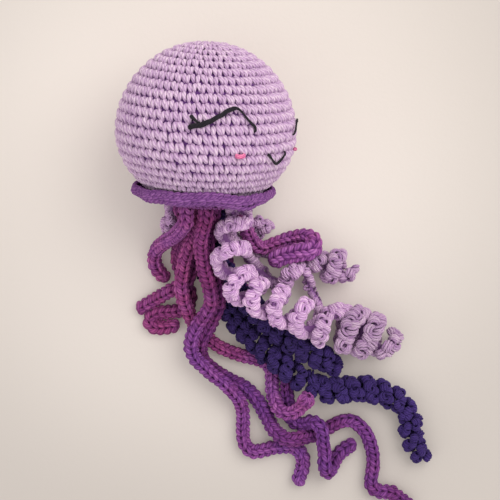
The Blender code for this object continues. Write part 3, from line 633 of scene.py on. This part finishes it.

# Each corkscrew tentacle: its node, its start, its hand, how its turns lean, rows of x, y, z, coil,
# strip (mm) and turns, the radius of its yarn, its plumpness and its colour mixes
# The colour mixes are partly painted shade: a curl is painted toward its yarn's darker colour where it lies
# in shade, and partly uneven colour of the yarn.
CURLS = [
    (
        "lavender_curl_long", (18, 10), -1, (0.75, -0.1),
        [
            (18.5, -50.8, 46.4, 4.6, 2.8, -0.38), (15.8, -58.2, 46, 6.6, 3.3, 0),
            (14, -73.8, 40.6, 8.2, 3.7, 1), (19, -90.8, 36.6, 7.4, 3.8, 2),
            (30, -98.6, 34.2, 7.2, 3.8, 3), (43.5, -104.6, 31.6, 8, 3.9, 4),
            (56, -111.5, 29, 7, 4.2, 5), (66, -119.8, 26.6, 4.6, 4, 6),
            (69.5, -123.4, 24.8, 2.8, 3.6, 6.35),
        ],
        0.00094, 1.26, [(0, 0.2), (0.5, 0), (0.85, 0.1), (1, 0.5)],
    ),
    (
        "lavender_curl_big_end", (14, -8.5), 1, (0.2, 0.0),
        [
            (13.5, -64, 19, 0.3, 3.1, -1), (22.5, -76, 9, 0.3, 3.1, -0.7),
            (32, -85.5, 6, 0.4, 3.3, -0.45), (42, -90, 8, 1.4, 3.7, -0.25),
            (49.5, -87, 13, 3.6, 3.9, 0), (55, -86.5, 13.8, 3.2, 3.4, 0.2),
            (59.5, -91, 11.8, 1.1, 2.4, 0.36), (64, -98, 9, 0.1, 2.1, 0.6),
            (69, -105.5, 8.2, 0.5, 2.4, 0.7), (75.5, -116.5, 13.6, 9.2, 4, 1.1),
            (86, -119.5, 15, 10.6, 3.95, 2), (96.2, -122.5, 14.8, 10, 3.9, 2.95),
            (106, -125, 11.6, 6.8, 3.9, 3.8), (112, -126.5, 6.8, 2.2, 3.5, 4.3),
        ],
        0.00092, 1.5, [(0, 0.4), (0.45, 0.3), (0.6, 0.8), (1, 0.9)],
    ),
    (
        "lavender_curl_left", (-19, -4), 1, (0.0, 0.0),
        [
            (-20.5, -50, 29, 1.2, 2.7, -0.3), (-22, -53.3, 20.5, 2.6, 3, 0.4),
            (-23.2, -56, 13.2, 3, 3.1, 1.2), (-24, -59.5, 7.6, 1.8, 2.9, 1.9),
        ],
        0.00086, 1.4, [(0, 0.3), (1, 0.1)],
    ),
    (
        "lavender_curl_middle", (21, -12), 1, (0.0, 0.0),
        [
            (23.5, -50.5, 20, 0.8, 2.6, -0.5), (27.5, -54.3, 12.5, 1.9, 2.6, 0),
            (31.5, -57.5, 7.6, 2.7, 2.7, 0.7), (36.5, -58.8, 5.8, 2.3, 2.6, 1.4),
        ],
        0.00084, 1.4, [(0, 0.5), (1, 0.4)],
    ),
    (
        "lavender_curl_right", (11, -19), 1, (0.0, 0.0),
        [
            (16, -65, 8, 0.2, 2.9, -1), (26, -72.5, 3.6, 0.2, 2.9, -0.9),
            (37, -75, 3.2, 0, 2.9, -0.7), (48, -75.5, 3.2, 0, 2.9, -0.5),
            (57, -76.3, 4.2, 0.2, 3, -0.4), (62, -79, 6.8, 0.3, 3, -0.3),
            (66.5, -81, 9.6, 3, 3.1, 0), (71, -81, 10.4, 6, 3.4, 0.5),
            (80.8, -81.5, 10.6, 6.3, 3.3, 1.5), (85.3, -83, 8.4, 3.6, 3.1, 2.1),
        ],
        0.00090, 1.5, [(0, 0.8), (0.6, 0.7), (1, 0.6)],
    ),
    (
        "indigo_curl_short", (10, 0), -1, (0.0, 0.15),
        [
            (5.5, -57, 30, 0.3, 2.9, -1.4), (7, -67, 22, 0.6, 2.9, -1.1),
            (9.5, -78.5, 16.4, 1.2, 2.9, -0.6), (12.5, -88.5, 16, 2.6, 2.9, 0),
            (17.5, -95, 16.8, 3.8, 3, 1), (23, -101.5, 17, 4.1, 3.1, 2),
            (29, -107.5, 16.9, 4.1, 3.1, 3), (35, -113.5, 17, 4.1, 3.2, 4),
            (41.5, -119.5, 17.4, 4.1, 3.2, 5), (49, -125.5, 17.8, 4.1, 3.2, 6),
            (55.5, -130.5, 16.6, 4.1, 3.2, 7), (63.5, -134, 15.2, 4.1, 3.2, 8),
            (70.5, -137.5, 12.6, 3.9, 3.2, 9), (75, -141.8, 9, 3.1, 3, 9.8),
            (77, -145.5, 5.8, 1.6, 2.7, 10.25),
        ],
        0.00088, 1.36, [(0, 0), (0.6, 0), (1, 0.5)],
    ),
    (
        "indigo_curl_long", (1, -21), -1, (0.0, 0.15),
        [
            (-4, -56.5, 12, 0.5, 2.9, -1.4), (-3.5, -67, 6.5, 1.2, 2.9, -1),
            (-3, -78.5, 5.8, 2, 2.9, -0.4), (-0.5, -88, 6.4, 3, 2.9, 0.4),
            (4, -96, 7.1, 3.9, 2.9, 1.4), (10, -103, 7, 4, 2.9, 2.4),
            (14, -109.5, 7.1, 4.1, 2.9, 3.4), (18, -116.5, 7.1, 4.1, 3, 4.4),
            (23.5, -122.5, 7.4, 4.1, 2.9, 5.4), (29.5, -128, 9.9, 4.1, 2.9, 6.4),
            (35.5, -134, 13.2, 4.1, 2.9, 7.4), (42.5, -139.5, 15.4, 4.1, 3, 8.4),
            (49.5, -144.5, 14.8, 4.1, 3, 9.4), (56.5, -150.3, 10.9, 4.2, 3.1, 10.4),
            (64.5, -154.7, 7.8, 4.3, 3.3, 11.4), (74, -156.8, 7.8, 4.4, 3.5, 12.4),
            (83.5, -157, 7.8, 4.4, 3.5, 13.4), (93, -156, 7.8, 4.4, 3.5, 14.4),
            (102, -157.5, 7.8, 4.3, 3.4, 15.4), (111, -161, 7.6, 4, 3.2, 16.4),
            (118.5, -166, 7.4, 3.6, 2.9, 17.4), (122.5, -173.5, 7.1, 3.6, 3, 18.4),
            (123.2, -182.5, 7, 3.7, 3, 19.4), (125.5, -190.5, 6.8, 3.5, 2.9, 20.4),
            (130, -196.5, 6, 3, 2.8, 21.4), (133.3, -200, 4.4, 1.4, 2.6, 22),
        ],
        0.00086, 1.3, [(0, 0), (0.4, 0.1), (0.7, 0.6), (1, 0.5)],
    ),
]


# Stitched surfaces of revolution: the bell, the brim and the base disc


class Profile:
    """A line of heights and radii that is turned about the bell's axis."""

    def __init__(self, heights, radii):
        steps = np.hypot(np.diff(heights), np.diff(radii))
        run = np.concatenate([[0.0], np.cumsum(steps)])
        self.run = np.linspace(0.0, run[-1], 1500)
        self.height = np.interp(self.run, run, heights)
        self.radius = np.interp(self.run, run, radii)
        out = unit(np.stack([np.gradient(self.radius), -np.gradient(self.height)], axis=-1))
        kernel = np.ones(41) / 41
        padded = np.pad(out, ((20, 20), (0, 0)), mode="edge")
        out = np.stack([np.convolve(padded[:, axis], kernel, "valid") for axis in range(2)], axis=-1)
        self.out = unit(out)
        self.length = self.run[-1]

    def place(self, s, angle, depth):
        height = np.interp(s, self.run, self.height)
        radius = np.interp(s, self.run, self.radius)
        out_height = np.interp(s, self.run, self.out[:, 0])
        out_radius = np.interp(s, self.run, self.out[:, 1])
        height, radius = self.shaped(height, radius, angle)
        way = np.cos(angle)[..., None] * UPPER + np.sin(angle)[..., None] * RIGHT
        point = CENTRE + (height + depth * out_height)[..., None] * AXIS
        point = point + (radius + depth * out_radius)[..., None] * way
        return point, out_height[..., None] * AXIS + out_radius[..., None] * way

    def shaped(self, height, radius, angle):
        return height, radius


class BrimProfile(Profile):
    """The brim: it sags and tucks in at its sides, and has ripples, slow waves and one fold."""

    def shaped(self, height, radius, angle):
        middle = -BRIM_TOP - 0.5 * BRIM_HEIGHT
        across = np.sin(angle) ** 2
        share = np.clip((radius - brim_reach() + 0.004) / 0.003, 0.0, 1.0)
        away = (angle - BRIM_FOLD_ANGLE) / 0.16
        fold = BRIM_FOLD * np.exp(-away * away)
        radius = radius + share * (BRIM_RIPPLE * np.sin(BRIM_RIPPLES * angle) + fold)
        low = np.clip((middle - height) / 0.002, 0.0, 1.0)
        height = middle + (height - middle) * (1.0 - 0.32 * across * across)
        height = height + 0.0005 * np.sin(5.0 * angle + 1.0) + 0.0004 * np.sin(9.0 * angle)
        height = height - share * low * fold - BRIM_SAG * (0.7 - 0.3 * np.sin(angle)) * across
        return height, radius - BRIM_TUCK * across


def bell_profile():
    foot_turn = math.acos(-FOOT_DEPTH / LOWER_DEPTH)
    turn = np.linspace(0.0, foot_turn, 3000)
    end = np.where(turn < math.pi / 2, CROWN_HEIGHT, LOWER_DEPTH)
    return Profile(end * np.cos(turn), BELL_RADIUS * np.sin(turn))


def stitch_round(made, profile, at, height, count, first, yarn):
    """A round of single crochet: each stitch is two plump legs that meet at the top and part below."""
    share = np.linspace(0.0, 1.0, 8)
    rise = np.sin(np.pi * (0.04 + 0.92 * share)) ** 0.55
    stitch = np.arange(count) + first
    wander = chance.normal(0.0, 0.045, count)
    lift = chance.normal(0.0, 0.04, count)
    up = -0.50 + 0.90 * share
    plump = (0.45 + 0.55 * rise) * (0.68 + 0.34 * share)
    for hand in (-1.0, 1.0):
        across = hand * (LEG_SPREAD + FOOT_SPREAD * (1.0 - share) ** 1.3)
        x = across[None] + STITCH_LEAN * up[None] + (stitch + wander)[:, None]
        x = x + chance.normal(0.0, 0.02, (count, 1))
        s = at - height * (up[None] + lift[:, None] + 0.06 * hand)
        s = np.clip(s, 0.0002, profile.length)
        angle = TURN * x / count
        width = TURN * np.interp(s, profile.run, profile.radius) / count
        thick = np.clip(0.320 * width, 0.55 * yarn, 1.22 * yarn) * plump[None]
        depth = 0.0004 - yarn - 1.75 * yarn * (1.0 - rise)[None]
        depth = depth + chance.normal(0.0, 0.06 * yarn, (count, 1))
        paths, outward = profile.place(s, angle, depth)
        # Random brightness per stitch, with painted shade where the legs dip into the fabric
        tone_light_and_shade = chance.uniform(0.93, 1.06, (count, 1)) * (0.66 + 0.34 * rise)[None]
        made.strands(paths, outward, thick, 6, tone_light_and_shade, 0.0, 0.94)


def braid_round(made, profile, at, height, count, first, yarn, mix):
    """A chain laid along the ring: V stitches in a row that runs round the axis."""
    share = np.linspace(0.0, 1.0, 8)
    rise = np.sin(np.pi * (0.04 + 0.92 * share)) ** 0.55
    pitch = TURN / count
    stitch = (np.arange(count) + first + chance.normal(0.0, 0.04, count)) * pitch
    for hand in (-1.0, 1.0):
        angle = stitch[:, None] + 1.36 * pitch * (share - 0.5)[None]
        s = at + hand * height * (0.40 - 0.27 * share)[None]
        s = s + chance.normal(0.0, 0.04 * height, (count, 1))
        s = np.clip(s, 0.0002, profile.length)
        depth = 0.0008 - yarn - 1.5 * yarn * (1.0 - rise)[None] + np.zeros((count, 1))
        paths, outward = profile.place(s, angle, depth)
        # Random brightness per stitch, with painted shade where the legs dip into the fabric
        tone_light_and_shade = chance.uniform(0.86, 1.12, (count, 1)) * (0.50 + 0.48 * rise)[None]
        thick = yarn * (0.62 + 0.38 * rise)[None] + np.zeros((count, 1))
        made.strands(paths, outward, thick, 6, tone_light_and_shade, mix, 0.92)


def backing(made, profile, depth, rows, columns, tone_light_and_shade, mix):
    """A plain surface behind the stitches, this far out from the profile, painted dark as the shade seen
    through the gaps between them.
    """
    s = np.linspace(0.0, profile.length, rows)[:, None] + np.zeros((rows, columns))
    angle = TURN * np.arange(columns)[None] / columns + np.zeros((rows, columns))
    points, _ = profile.place(s, angle, np.full((rows, columns), depth))
    made.grid(points, tone_light_and_shade, mix)


def crocheted_bell():
    made = Yarn()
    profile = bell_profile()
    height = profile.length / ROUNDS
    # Painted shade: the backing is darkened and wholly in the bell yarn's darker second colour, for the
    # dark holes between stitches
    backing(made, profile, -0.0023, 60, 96, 0.30, 1.0)
    for row in range(ROUNDS):
        at = height * (row + 0.5)
        radius = np.interp(at, profile.run, profile.radius)
        if row < GROWING_ROUNDS:
            count = 6 * (row + 1)
        elif radius > FULL_RADIUS:
            count = STITCHES_ROUND
        else:
            count = int(6 * round(TURN * radius / LOW_STITCH / 6))
        first = -0.38 * row + 0.10 * (row % 3)
        stitch_round(made, profile, at, height, count, first, BELL_STRAND)
    piece = made.piece("crocheted_bell", BELL_YARN, "bell_cotton")
    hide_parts("bell_cover")


def bell_reach(height):
    end = CROWN_HEIGHT if height > 0.0 else LOWER_DEPTH
    return BELL_RADIUS * math.sqrt(max(0.0, 1.0 - (height / end) ** 2))


def brim_reach():
    return bell_reach(-BRIM_TOP) + ROUND_RIDGE + 4.0 * GAP + BRIM_STAND


def crocheted_brim():
    made = Yarn()
    reach = brim_reach()
    top = -BRIM_TOP
    low = -BRIM_TOP - BRIM_HEIGHT
    section = [
        (top - 0.0004, bell_reach(top) + 0.0010),
        (top + 0.0001, bell_reach(top) + 0.0018),
        (top - 0.0009, reach + 0.0005),
        (0.5 * (top + low), reach + 0.0011),
        (low + 0.0016, reach + 0.0003),
        (low + 0.0003, reach - 0.0016),
        (low, bell_reach(low) + 0.0060),
        (low + 0.0008, bell_reach(low) + 0.0026),
    ]
    profile = BrimProfile(*np.array(section).T)
    # Painted shade: the backing is darkened and mostly in the brim yarn's darker second colour
    backing(made, profile, -0.0013, 30, 120, 0.5, 0.7)
    rows = 4
    height = profile.length / rows
    for row in range(rows):
        braid_round(made, profile, height * (row + 0.5), height, 66, 0.5 * (row % 2), BRIM_STRAND, 0.3)
    piece = made.piece("crocheted_brim", BRIM_YARN, "purple_cotton")
    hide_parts("brim_frill")


def crocheted_disc():
    made = Yarn()
    face = -DISC_FACE
    reach = bell_reach(-FOOT_DEPTH) + DISC_EDGE
    profile = Profile(
        np.array([-FOOT_DEPTH - 0.0004, -FOOT_DEPTH - 0.0016, face, face, face]),
        np.array([reach - 0.0002, reach, reach - 0.0012, 0.012, 0.0]),
    )
    # Painted shade: the backing is darkened and half in the base yarn's darker second colour
    backing(made, profile, -0.0009, 12, 72, 0.5, 0.5)
    rows = 6
    height = profile.length / rows
    for row in range(rows):
        at = height * (row + 0.5)
        radius = np.interp(at, profile.run, profile.radius)
        count = max(6, int(6 * round(TURN * radius / 0.0052 / 6)))
        stitch_round(made, profile, at, height, count, 0.5 * (row % 2), DISC_STRAND)
    piece = made.piece("crocheted_disc", DISC_YARN, "base_cotton")
    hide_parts("base_disc")


# Corkscrew tentacles


def stitch_lobes(made, line, radii, mix_at, tilt, yarn, plump):
    """A row of plump lobes of nested strands along one edge of a strip, each wound its own way."""
    end = line.run[-1]
    count = max(2, int(round((end - 0.002) / LOBE)))
    lobe = (end - 0.002) / count
    shift = 0.25 if tilt < 0.0 else 0.75
    middle = np.clip(0.001 + lobe * (np.arange(count) + shift + chance.normal(0.0, 0.07, count)), 0.0, end)
    wide = plump * np.interp(middle, line.run, radii) * chance.uniform(0.93, 1.07, count)
    spot = line.at(line.points, middle)
    ahead = unit(line.at(line.along, middle))
    side = unit(line.at(line.side, middle))
    side = math.cos(tilt) * side + math.sin(tilt) * np.cross(ahead, side)
    spot = spot + 0.40 * wide[:, None] * side
    wide = 0.66 * wide
    wound = chance.normal(0.0, 0.75, count)
    axle = np.cos(wound)[:, None] * ahead + np.sin(wound)[:, None] * np.cross(ahead, side)
    third = np.cross(side, axle)
    long = np.maximum(0.62 * lobe, 0.74 * wide)
    share = np.linspace(-1.0, 1.0, 11)
    turned = LOBE_WRAP * share
    for strand in range(LOBE_STRANDS):
        off = (strand - 0.5 * (LOBE_STRANDS - 1)) / (0.5 * LOBE_STRANDS) * 0.98
        ring = (wide - 0.6 * yarn) * math.sqrt(1.0 - 0.85 * off * off)
        bow = 0.30 * long[:, None] * (1.0 - 1.6 * share**2)[None]
        bow = bow + chance.normal(0.0, 0.06, (count, 1)) * wide[:, None]
        way = np.cos(turned)[None, :, None] * side[:, None]
        way = way + np.sin(turned)[None, :, None] * third[:, None]
        paths = spot[:, None] + (off * long[:, None] + bow)[..., None] * axle[:, None]
        paths = paths + ring[:, None, None] * way
        outward = unit(paths - spot[:, None])
        # Random brightness per lobe, with painted shade on the outer strands of each lobe and at the
        # strands' ends
        tone_light_and_shade = chance.uniform(0.90, 1.12, (count, 1)) * (1.0 - 0.28 * abs(off))
        tone_light_and_shade = tone_light_and_shade * (1.05 - 0.35 * share**4)[None]
        mix = np.broadcast_to(mix_at(middle)[:, None], (count, len(share)))
        thick = yarn * (1.0 - 0.2 * np.abs(share))[None] + np.zeros((count, 1))
        made.strands(paths, outward, thick, 6, tone_light_and_shade, mix, 0.94)


def curl_piece(name, start, hand, leans, route, coat, slot, yarn, plump, mixes):
    """A strip that winds round its own axis by hand, with two rows of lobes along it."""
    back_lean, side_lean = leans
    rows = []
    for out, turns in ((0.0, route[0][5] - 0.35), (FIRST_STRETCH, route[0][5] - 0.2)):
        spot = from_disc(start[0] * MM, start[1] * MM, out)
        rows.append((*spot, 0.2 * MM, route[0][4] * MM, turns))
    for x, y, z, coil, strip, turns in route:
        rows.append((x * MM, y * MM, z * MM, coil * MM, strip * MM, turns))
    axis = smooth_curve(rows)
    along = unit(np.gradient(axis[:, :3], axis=0))
    upward = unit(np.array([0.0, 0.0, 1.0]) - along[:, 2:3] * along)
    sideways = np.cross(along, upward)
    angle = hand * TURN * axis[:, 5:6]
    settled = np.clip(np.minimum(axis[:, 5:6] + 0.5, axis[-1, 5] - axis[:, 5:6]), 0.0, 1.0)
    leaning = settled * (back_lean * np.cos(angle) + side_lean * np.sin(angle))
    out = np.cos(angle) * upward - np.sin(angle) * sideways
    strand = axis[:, :3] + axis[:, 3:4] * (out - leaning * along)
    points, kept, run = even_points(strand, [axis[:, 4], out[:, 0], out[:, 1], out[:, 2]], 0.0006)
    radii = kept[:, 0]
    points[:, 2] = np.maximum(points[:, 2], radii + FLOOR_CLEARANCE)
    end = run[-1]
    tip = np.clip((end - run) / radii, 0.0, 1.0)
    radii = radii * np.sqrt(np.maximum(1.0 - (1.0 - tip) ** 2, 0.05))
    line = Line(points, run)
    outward = kept[:, 1:]
    line.side = unit(outward - (outward * line.along).sum(1, keepdims=True) * line.along)
    line.other = np.cross(line.along, line.side)
    keys = np.array(mixes)

    def mix_at(s):
        return np.clip(np.interp(s / end, keys[:, 0], keys[:, 1]) + 0.12 * np.sin(s / 0.005), 0.0, 1.0)

    made = Yarn()
    core_tube(made, line, np.maximum(radii - 1.35 * yarn, 0.0003), mix_at)
    for tilt in (-ROW_TILT, ROW_TILT):
        stitch_lobes(made, line, radii, mix_at, tilt, yarn, plump)
    piece = made.piece(name + "_yarn", coat, slot)
    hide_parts(name)


# Face


def sewn_yarn(name, node, marks, coat, slot, plies, yarn_share):
    """Embroidery: a few strands laid side by side through marks on the bell, both ends drawn in."""
    route = []
    for degrees, height, radius in marks:
        height *= MM
        end = CROWN_HEIGHT if height > 0.0 else LOWER_DEPTH
        reach = bell_reach(height)
        out = Vector((height / (end * end), reach / (BELL_RADIUS * BELL_RADIUS))).normalized()
        way = math.cos(math.radians(degrees)) * UPPER + math.sin(math.radians(degrees)) * RIGHT
        lift = 0.00045 + 0.55 * radius
        spot = CENTRE + (height + lift * out.x) * AXIS + (reach + lift * out.y) * way
        normal = out.x * AXIS + out.y * way
        route.append((*spot, radius, *normal))
    rows = smooth_curve(route)
    points, kept, run = even_points(rows[:, :3], [rows[:, axis] for axis in range(3, 7)], 0.0007)
    radii = kept[:, 0]
    normal = unit(kept[:, 1:])
    along = unit(np.gradient(points, axis=0))
    across = np.cross(along, normal)
    near = np.minimum(run, run[-1] - run)
    dip = 0.0014 * np.clip(1.0 - near / 0.0012, 0.0, 1.0) ** 2
    made = Yarn()
    paths = []
    for ply in range(plies):
        turn = TURN * ply / plies + run / 0.0030
        offset = radii * (1.0 - yarn_share)
        side = offset * np.cos(turn)
        rise = 0.55 * offset * np.sin(turn)
        paths.append(points + side[:, None] * across + (rise - dip)[:, None] * normal)
    tone_light_and_shade = chance.uniform(0.85, 1.15, (plies, 1))
    made.strands(np.array(paths), np.array([normal] * plies), yarn_share * radii[None], 8, tone_light_and_shade, 0.0)
    piece = made.piece(name, coat, slot)
    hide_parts(node)


def mirrored(marks):
    """The same marks on the other side of the face."""
    return [(2.0 * FACE_MIDDLE - degrees, height, radius) for degrees, height, radius in marks]


def lowered(marks):
    """Marks of the right eye, which sits lower and flatter than the left and is sewn thinner."""
    return [(degrees, 3.4 + 0.6 * (height - 7.8), min(radius, 0.0008)) for degrees, height, radius in marks]


def sewn_face():
    """The stitches of the face, as marks of degrees round the bell, height (mm) and radius of the yarn."""
    thick, thin, lip, blush, faint = 0.0013, 0.00065, 0.0008, 0.0013, 0.0008
    eye = [
        (-7.0, 9.4, 0.0015), (1.5, 11.4, 0.0015), (10.0, 15.3, thick), (19.0, 19.4, thick),
        (23.0, 19.2, thin), (27.0, 15.6, 0.00060), (30.5, 12.2, 0.00085), (32.9, 10.2, 0.00090),
        (33.6, 7.8, thin),
    ]
    lash = [(-6.8, 15.2, 0.0010), (-3.6, 12.9, 0.0010), (-0.8, 11.4, 0.0009)]
    cheek = [(21.6, -4.6, blush), (24.2, -4.7, blush), (26.8, -4.6, blush)]
    round_cheek = [(degrees - 4.0, height - 1.4, faint) for degrees, height, _ in cheek]
    mouth = [(44.5, -4.8, lip), (49.0, -8.4, lip), (53.0, -10.2, lip)]
    mouth += mirrored(mouth[:2])[::-1]
    right = [mirrored(lowered(eye)), mirrored(lowered(lash)), mirrored(round_cheek)]
    for side, (lid, hair, spot) in (("left", (eye, lash, cheek)), ("right", right)):
        sewn_yarn(side + "_eye_yarn", side + "_eye_stitches", lid, BLACK_YARN, "black_thread", 3, 0.56)
        sewn_yarn(side + "_lash_yarn", side + "_eye_lash", hair, BLACK_YARN, "black_thread", 2, 0.62)
        sewn_yarn(side + "_cheek_yarn", side + "_cheek_stitch", spot, PINK_YARN, "pink_thread", 3, 0.60)
    sewn_yarn("mouth_yarn", "mouth_stitches", mouth, BLACK_YARN, "black_thread", 2, 0.62)


# Ground and light


def ground_material():
    """Pale paper, with a painted pool of light round the toy (painted darker away from it) and a faint glow
    of painted light.
    """
    coat = Coat("ground", 0.9)
    coat.set("Specular IOR Level", 0.2)
    # Painted light: the paper glows a little, so the shadows on it come out lighter
    coat.set("Emission Color", (1.0, 0.86, 0.76, 1.0))
    coat.set("Emission Strength", 0.085)
    broad = coat.noise(coat.where, Scale=3.2, Detail=1.0)
    shade = coat.blend(broad, (0.63, 0.575, 0.530), (0.73, 0.680, 0.640))
    # Painted light: the paper is painted darker with distance from the toy
    away = coat.fed("VectorMath", coat.where)
    away.operation = "DISTANCE"
    away.inputs[1].default_value = (-0.005, -0.010, 0.0)
    painted_falloff = coat.fed("MapRange", away.outputs["Value"], 0.06, 0.25, 1.0, 0.68)
    painted_falloff.interpolation_type = "SMOOTHSTEP"
    paled = coat.fed("VectorMath", shade)
    paled.operation = "SCALE"
    coat.link(painted_falloff.outputs["Result"], paled.inputs["Scale"])
    coat.link(paled.outputs[0], coat.shader.inputs["Base Color"])
    coat.bump(coat.noise(coat.where, Scale=420.0, Detail=4.0), 0.12, 0.0006)
    return coat.material


def stage():
    side = 1.6
    mesh = bpy.data.meshes.new("ground")
    low = -0.0003
    spots = [(-side, -side, low), (side, -side, low), (side, side, low), (-side, side, low)]
    mesh.from_pydata(spots, [], [(0, 1, 2, 3)])
    ground = bpy.data.objects.new("ground", mesh)
    mesh.materials.append(ground_material())
    bpy.context.scene.collection.objects.link(ground)

    world = bpy.data.worlds.new("world")
    world.use_nodes = True
    sky = world.node_tree.nodes["Background"]
    sky.inputs["Color"].default_value = (1.0, 0.975, 0.955, 1.0)
    sky.inputs["Strength"].default_value = 0.86
    bpy.context.scene.world = world

    def lamp(name, place, aim, size, power, colour):
        data = bpy.data.lights.new(name, "AREA")
        data.shape = "DISK"
        data.size = size
        data.energy = power
        data.color = colour
        made = bpy.data.objects.new(name, data)
        made.location = place
        made.rotation_euler = (Vector(aim) - Vector(place)).to_track_quat("-Z", "Y").to_euler()
        bpy.context.scene.collection.objects.link(made)

    lamp("window", (0.55, 0.40, 0.85), (0.03, -0.06, 0.0), 1.0, 6.6, (1.0, 0.98, 0.95))
    lamp("fill", (-0.6, -0.5, 0.8), (0.03, -0.06, 0.0), 0.8, 1.2, (0.96, 0.97, 1.0))


stage()

scene = bpy.context.scene
scene.view_settings.view_transform = "Standard"

for name, start, route, painted_light, mixes, length in CORDS:
    cord_piece(name, start, route, painted_light, mixes, FOLD_FROM.get(name, 2.0), KNOB.get(name, 0.0))
for name, start, hand, leans, route, yarn, plump, mixes in CURLS:
    colour = name.split("_")[0]
    coat = {"lavender": CURL_YARN, "indigo": INDIGO_YARN}[colour]
    curl_piece(name, start, hand, leans, route, coat, colour + "_cotton", yarn, plump, mixes)
crocheted_disc()
crocheted_brim()
crocheted_bell()
sewn_face()
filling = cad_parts["bell_stuffing"]
filling.data.materials.clear()
filling.data.materials.append(fibre_material("filling", (0.80, 0.80, 0.78)))
